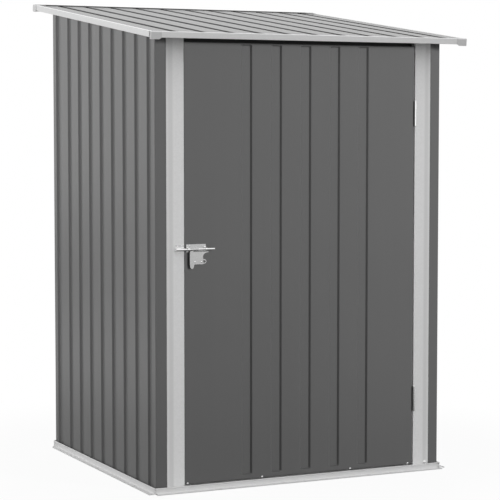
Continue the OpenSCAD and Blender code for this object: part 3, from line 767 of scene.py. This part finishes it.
class SHED_OT_roof_edges(Step, bpy.types.Operator):
    """Folded edge trims and rounded corner caps of the roof"""
    bl_idname, bl_label = "shed.roof_edges", "Roof trims and caps"

    def build(self, s):
        rise, y0, y1 = roof_span(s)
        t, lip, drop = s.fold, 0.012, -0.010
        fold = rounded([[lip, drop], [-t, drop], [-t, rise + t], [lip, rise + t]], s.crease, 5)
        n, z = fold[:, 0], fold[:, 1]
        across, along = (-ROOF_X, ROOF_X), (y0 + lip, y1 - lip)
        for side, out, rows in (("front", (0, -1, 0), [on_roof(x, y0 + n, z) for x in across]),
                                ("rear", (0, 1, 0), [on_roof(x, y1 - n, z) for x in across]),
                                ("left", (-1, 0, 0), [on_roof(n - ROOF_X, y, z) for y in along]),
                                ("right", (1, 0, 0), [on_roof(ROOF_X - n, y, z) for y in along])):
            Skin().sheet(rows).piece(
                f"trim_{side}", "silver", "shed", (f"roof_trim_{side}",), outward=out, wall=t)
        for end, ky, y, side in (("front", 1, y0, s.cap_side), ("rear", -1, y1, s.cap)):
            for hand, kx in (("left", 1), ("right", -1)):
                self.cap(s, kx, ky, y, rise, side).piece(
                    f"cap_{end}_{hand}", "cap", "shed", (f"roof_cap_{end}_{hand}",), outward=(-kx, -ky, 1),
                    wall=t, smooth=50)

    @staticmethod
    def cap(s, kx, ky, y, rise, side):
        """Corner cap: an L-shaped wall with a round corner, p(u) moved in by r (1 - cos v) and up by r sin v
        at the top edge, closed by a flat top to the inner corner; its lower edge slants up at the ends."""
        t, reach, r = s.fold, s.cap, 0.0036
        low, top = -0.015, rise + 2 * t
        slant, side_slant, lift = 0.008, 0.002, 0.005
        a = np.linspace(0, np.pi / 2, 7)
        corner = np.column_stack([r - r * np.sin(a), r - r * np.cos(a)])
        path = np.concatenate([[[reach, 0], [reach - slant, 0]], corner, [[0, side - side_slant], [0, side]]])
        inward = np.concatenate([[[0, 1]] * 2, np.column_stack([np.sin(a), np.cos(a)]), [[1, 0]] * 2])
        v = np.linspace(0, np.pi / 2, 6)
        inset = np.r_[0, r * (1 - np.cos(v))]
        height = np.repeat(np.r_[low, top - r + r * np.sin(v)][:, None], len(path), 1)
        height[0, [0, -1]] += lift
        plan = path[None] + inset[:, None, None] * inward[None]
        x, yy = plan[..., 0] - 2 * t, plan[..., 1] - 2 * t
        rings = on_roof(kx * (x - ROOF_X), y + ky * yy, height)
        skin = Skin().sheet(rings)
        inner = on_roof([kx * (reach - 2 * t - ROOF_X)], [y + ky * (side - 2 * t)], [top])
        return skin.add(np.concatenate([rings[-1], inner]), [np.arange(len(path) + 1)])


class SHED_OT_door(Step, bpy.types.Operator):
    """Door tray with pressed grooves and folded edges"""
    bl_idname, bl_label = "shed.door", "Door"

    def build(self, s):
        r, foot, head, ramp, ease = s.bend, 0.015, 0.005, 0.004, 0.001
        x0, x1, z0, z1 = DOOR_LO[0] + r, DOOR_HI[0] - r, DOOR_LO[2] + r, DOOR_HI[2] - r
        turns = np.arange(s.door_grooves) - (s.door_grooves - 1) / 2
        centres = (DOOR_LO[0] + DOOR_HI[0]) / 2 + s.door_shift + turns * s.door_pitch
        across = rounded(rolled(x0, x1, centres, s.mouth, s.floor, s.depth), r)
        low, high = DOOR_LO[2] + foot, DOOR_HI[2] - head
        up = rounded([[z0, 0], [low, 0], [low + ramp, -s.depth], [high - ramp, -s.depth], [high, 0], [z1, 0]],
                     ease)
        self.tray(s, across, up, r).piece(
            "door_skin", "paint", "door", ("door_panel",), outward=(0, -1, 0), wall=s.sheet)

    @staticmethod
    def tray(s, across, up, r):
        """y(x, z) = front + depth A(x) B(z), where A is 1 on a groove's floor and B is 1 between its ends;
        the border turns back through a quarter round of radius r and runs to the door's rear edge."""
        nx, nz = len(across), len(up)
        press = np.outer(up[:, 1], across[:, 1]) / s.depth
        x, z = np.meshgrid(across[:, 0], up[:, 0])
        face = np.stack([x, FRONT_Y + press, z], -1)
        number = np.arange(nx * nz).reshape(nz, nx)
        rim = np.concatenate([number[0, :-1], number[:-1, -1], number[-1, :0:-1], number[:0:-1, 0]])
        flat = face.reshape(-1, 3)[rim]
        left, right = (np.isclose(flat[:, 0], edge) for edge in (x[0, 0], x[0, -1]))
        bottom, top = (np.isclose(flat[:, 2], edge) for edge in (z[0, 0], z[-1, 0]))
        out = np.stack([right * 1.0 - left, np.zeros(len(rim)), top * 1.0 - bottom], -1)
        v = np.linspace(0, np.pi / 2, 5)
        rings = flat[None] + r * np.sin(v)[:, None, None] * out[None]
        rings[..., 1] += r * (1 - np.cos(v))[:, None]
        back = rings[-1:].copy()
        back[..., 1] = DOOR_HI[1]
        return Skin().add(face, quads(nz, nx)).loft(np.concatenate([rings, back]), True, False)


class SHED_OT_hinges(Step, bpy.types.Operator):
    """Hinge knuckles with eased ends, leaves and domed pins"""
    bl_idname, bl_label = "shed.hinges", "Hinges"

    def build(self, s):
        for level in ("upper", "lower"):
            for leaf, body, turns in (("jamb", "shed", (0, 2)), ("door", "door", (1,))):
                node = f"hinge_{level}_{leaf}_leaf"
                own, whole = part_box(node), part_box(f"hinge_{level}_jamb_leaf")
                self.leaf(own, whole, leaf == "jamb", turns).piece(
                    f"hinge_{level}_{leaf}", "polish", body, (node,), smooth=50)

    @staticmethod
    def leaf(own, whole, jamb, turns):
        """A leaf plate with its knuckles, round bars with eased ends; the jamb's leaf has the pin's domes."""
        radius, ease, share, thick, gap = 0.003, 0.0003, 0.25, 0.0008, 0.0001
        pin, sunk = dome(0.0017, 0.0007), 0.0006
        x, y, z = whole[0][0] + radius, whole[0][1] + radius, whole[0][2]
        third = (whole[1][2] - z) / 3
        at = OPEN_R - thick if jamb else DOOR_HI[0]
        skin = Skin().loft(block((at, y + radius + ease, z), (at + thick, own[1][1], z + 3 * third)))
        for k in turns:
            a, b = z + k * third + gap, z + (k + 1) * third - gap
            skin.turned(eased(radius, a, b, ease, share), (x, y, 0), (0, 0, 1), 36)
            skin.loft(block((at, y, a), (at + thick, y + radius + 2 * ease, b)))
        if jamb:
            for end, way in ((z, -1), (z + 3 * third, 1)):
                skin.turned(pin, (x, y, end - way * sunk), (0, 0, way), 24)
        return skin


class SHED_OT_latch(Step, bpy.types.Operator):
    """Slide bolt: keeper on the jamb, guide plate on the door, rod and hanging handle"""
    bl_idname, bl_label = "shed.latch", "Slide bolt"

    def build(self, s):
        self.keeper(s)
        self.guides()
        self.rod()
        self.handle()

    def keeper(self, s):
        """Strap on the jamb for the rod's end, with two rivets in its upper flange."""
        lo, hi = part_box("latch_keeper")
        seat, wall = hi[1] - s.fold, 0.0006
        radius, top, low = 0.0049, 0.0145, 0.0112
        rivet, rivet_up, shares = 0.0022, 0.0110, (0.27, 0.73)
        self.strap(lo[0], hi[0], seat, radius, top, low).piece(
            "keeper", "polish", "shed", ("latch_keeper",), outward=(0, -1, 0), wall=wall, smooth=40)
        places = [(lo[0] + k * (hi[0] - lo[0]), seat, ROD_Z + rivet_up) for k in shares]
        self.rivets(places, rivet).piece("keeper_rivets", "polish", "shed", smooth=50)

    def guides(self):
        """Riveted plate on the door, with a strap for the rod at each end."""
        lo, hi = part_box("latch_base")
        thick, corner, ease = 0.0015, 0.002, 0.0004
        wide, wall, radius, top, low = 0.007, 0.0008, 0.0058, 0.0105, 0.0090
        rivet, rivet_down, along = 0.0026, 0.0045, (0.0035, 0.0125, 0.0545, 0.0635)
        seat = FRONT_Y - thick
        plate = rounded([[lo[0], lo[2]], [hi[0], lo[2]], [hi[0], hi[2]], [lo[0], hi[2]]], corner, 4, True)
        faces = [np.column_stack([plate[:, 0], np.full(len(plate), y), plate[:, 1]]) for y in (FRONT_Y, seat)]
        Skin().loft(faces).piece("guide_plate", "zinc", "door", ("latch_base",), bevel=ease, smooth=40)
        for name, x in (("left", lo[0]), ("right", hi[0] - wide)):
            self.strap(x, x + wide, seat - wall, radius, top, low).piece(
                f"guide_{name}", "polish", "door", outward=(0, -1, 0), wall=wall, smooth=40)
        places = [(lo[0] + d, seat, hi[2] - rivet_down) for d in along]
        self.rivets(places, rivet).piece("guide_rivets", "zinc", "door", smooth=50)

    @staticmethod
    def rod():
        """Round bar with eased ends, along X."""
        ease, share = 0.0012, 0.3
        bar = eased(ROD_R, ROD_LO[0], ROD_HI[0], ease, share)
        Skin().turned(bar, (0, ROD_Y, ROD_Z), (1, 0, 0), 40).piece(
            "rod", "polish", "bolt", ("bolt_rod",), smooth=50)

    def handle(self):
        """Hanging plate with two rivets in its foot."""
        lo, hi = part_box("bolt_handle")
        rivet, ease = 0.0028, 0.0004
        self.hanging(lo[0], hi[0] - lo[0], lo[2] - ROD_Z).piece(
            "handle", "zinc", "bolt", ("bolt_handle",), bevel=ease, smooth=40)
        places = [(lo[0] + x, ROD_Y, ROD_Z + z) for x, z in ((0.0175, -0.0403), (0.0405, -0.0405))]
        self.rivets(places, rivet).piece("handle_rivets", "polish", "bolt", smooth=50)

    @staticmethod
    def strap(x0, x1, seat, radius, top, low):
        """Half-round strap round the rod with two flanges: (y, z) = rod + radius (cos a, sin a) for a from 90
        to 270 degrees, run back to the seat and along it; carried along X."""
        root, bend = 0.0024, 0.001
        a = np.linspace(np.pi / 2, 3 * np.pi / 2, 17)
        arc = np.column_stack([ROD_Y + radius * np.cos(a), ROD_Z + radius * np.sin(a)])
        upper = [[seat, ROD_Z + z] for z in (top, radius + root, radius)]
        lower = [[seat, ROD_Z - z] for z in (radius, radius + root, low)]
        line = np.concatenate([rounded([*upper, arc[0]], bend, 3), arc[1:-1],
                               rounded([arc[-1], *lower], bend, 3)])
        return Skin().sheet([np.column_stack([np.full(len(line), x), line]) for x in (x0, x1)])

    @staticmethod
    def rivets(places, radius):
        """Domed heads that face the front."""
        skin = Skin()
        for place in places:
            skin.turned(dome(radius, 0.45 * radius), place, (0, -1, 0), 24)
        return skin

    @staticmethod
    def hanging(x0, wide, low):
        """Flat plate from its outline, x from x0 and z from the rod: straight left edge, elliptical tongue at
        the lower left, flared top right, right side hollowed by (1-b)^2 flare + 2b(1-b) waist + b^2 bite, and
        a round bite that the ring of the padlock eye closes; with a neck and a collar on the rod."""
        thick, top, cut, shoulder, foot = 0.002, -0.0075, 0.0012, -0.0085, low + 0.0135
        eye, eye_in, eye_out, bite_r = np.array([0.0505, low + 0.0227]), 0.004, 0.007, 0.0055
        flare, waist = np.array([wide - cut, -0.0102]), np.array([0.0385, -0.0140])
        tongue_x, tongue_r = 0.0066, 0.0076
        collar = [(0.0042, 0.001), (0.0048, 0.0015), (0.0048, 0.0285), (0.0042, 0.029)]
        neck = (0.002, 0.012)
        a = np.radians(np.linspace(115, 250, 12))
        bite = eye + bite_r * np.column_stack([np.cos(a), np.sin(a)])
        b = np.linspace(0, 1, 9)[:, None]
        hollow = (1 - b) ** 2 * flare + 2 * b * (1 - b) * waist + b ** 2 * bite[0]
        c = np.radians(np.linspace(-8, -172, 11))
        tongue = (tongue_r, low + tongue_r) + np.column_stack([tongue_x * np.cos(c), tongue_r * np.sin(c)])
        upper = [[0.0006, top], [wide - cut, top], [wide, top - cut]]
        lower = [[0.0480, foot + 0.0004], [0.0470, foot], [0.0165, foot], [0.0152, foot - cut]]
        line = np.concatenate([upper, hollow, bite[1:], lower, tongue, [[0, foot + 0.002], [0, shoulder]]])
        skin = Skin().loft([np.column_stack([x0 + line[:, 0], np.full(len(line), y), ROD_Z + line[:, 1]])
                            for y in (ROD_Y, ROD_Y + thick)])
        ring = rounded([(eye_in, -thick), (eye_out, -thick), (eye_out, 0), (eye_in, 0)], 0.0005, 3, True)
        skin.turned(ring, (x0 + eye[0], ROD_Y, ROD_Z + eye[1]), (0, -1, 0), 40, True)
        skin.turned(collar, (x0, ROD_Y, ROD_Z), (1, 0, 0), 36)
        return skin.loft(block((x0 + neck[0], ROD_Y, ROD_Z + shoulder), (x0 + neck[1], ROD_Y + thick, ROD_Z)))


class SHED_OT_screws(Step, bpy.types.Operator):
    """Pan-head screws along the door's foot and at the hinge jamb's foot"""
    bl_idname, bl_label = "shed.screws", "Screws"

    def build(self, s):
        up, along = DOOR_LO[2] + 0.0035, (-0.411, -0.146, 0.181, 0.403)
        jamb, jamb_rise = (0.467, JAMB_Y, RAIL_Z + 0.0055), 0.9
        door = [(x, FRONT_Y, up) for x in along]
        self.heads(s.screw, door).piece("door_screws", "polish", "door", smooth=50)
        self.heads(s.foot_screw, [jamb], jamb_rise).piece("jamb_screw", "polish", "shed", smooth=50)

    @staticmethod
    def heads(radius, places, rise=0.5):
        """Pan head with a cross recess: height = rise R sqrt(1 - 0.8 (r/R)^2), lowered inside the cross."""
        slot, arm, deep, steps, sunk = 0.14 * radius, 0.55 * radius, 0.25 * radius, 32, 0.0005
        r = np.array([0.02, 0.2, 0.32, 0.45, 0.6, 0.75, 0.88, 0.97, 1.0])[:, None] * radius
        u = np.linspace(0, 2 * np.pi, steps, endpoint=False)[None]
        x, z = r * np.cos(u), r * np.sin(u)
        high = rise * radius * np.sqrt(1 - 0.8 * (r / radius) ** 2) + 0 * u
        cross = (np.minimum(np.abs(x), np.abs(z)) < slot) & (r < arm)
        high = np.where(cross, high - deep, high)
        rim = np.stack([x[-1:], np.full((1, steps), sunk), z[-1:]], -1)
        head = np.concatenate([np.stack([x, -high, z], -1), rim])
        skin = Skin()
        for place in places:
            skin.loft(head + np.asarray(place))
        return skin


class SHED_OT_inner(Step, bpy.types.Operator):
    """Finishes of the rails and stiffeners that keep their solids"""
    bl_idname, bl_label = "shed.inner", "Inner frame"

    def build(self, s):
        # The door header's near-black colour is painted shade under the eave; the other parts get the bright
        # strip
        looks = {"door_header": "header_shade"}
        for node in ("door_header", "side_top_rail_left", "side_top_rail_right", "rear_top_rail", "roof_beam",
                     "door_stile_latch", "door_stile_hinge", "door_rail_top", "door_rail_bottom"):
            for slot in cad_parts[node].material_slots:
                slot.material = finish(looks.get(node, "silver"))


STEPS = (SHED_OT_stage, SHED_OT_walls, SHED_OT_doorway, SHED_OT_base, SHED_OT_roof, SHED_OT_roof_edges,
         SHED_OT_door, SHED_OT_hinges, SHED_OT_latch, SHED_OT_screws, SHED_OT_inner)


class SHED_PT_panel(bpy.types.Panel):
    """Lists the shed's steps, sizes and colours"""
    bl_idname, bl_label = "SHED_PT_panel", "Metal tool shed"
    bl_space_type, bl_region_type, bl_category = "VIEW_3D", "UI", "Shed"

    def draw(self, context):
        for step in STEPS:
            self.layout.operator(step.bl_idname)
        for group in (context.scene.shed_sizes, context.scene.shed_colours):
            for key in group.__annotations__:
                self.layout.prop(group, key)


CLASSES = (ShedSizes, ShedColours, *STEPS, SHED_PT_panel)


def register():
    for made in CLASSES:
        bpy.utils.register_class(made)
    bpy.types.Scene.shed_sizes = PointerProperty(type=ShedSizes)
    bpy.types.Scene.shed_colours = PointerProperty(type=ShedColours)


def unregister():
    del bpy.types.Scene.shed_colours, bpy.types.Scene.shed_sizes
    for made in reversed(CLASSES):
        bpy.utils.unregister_class(made)


def main():
    register()
    for step in STEPS:
        getattr(bpy.ops.shed, step.bl_idname.split(".")[1])()


if __name__ == "__main__":
    main()
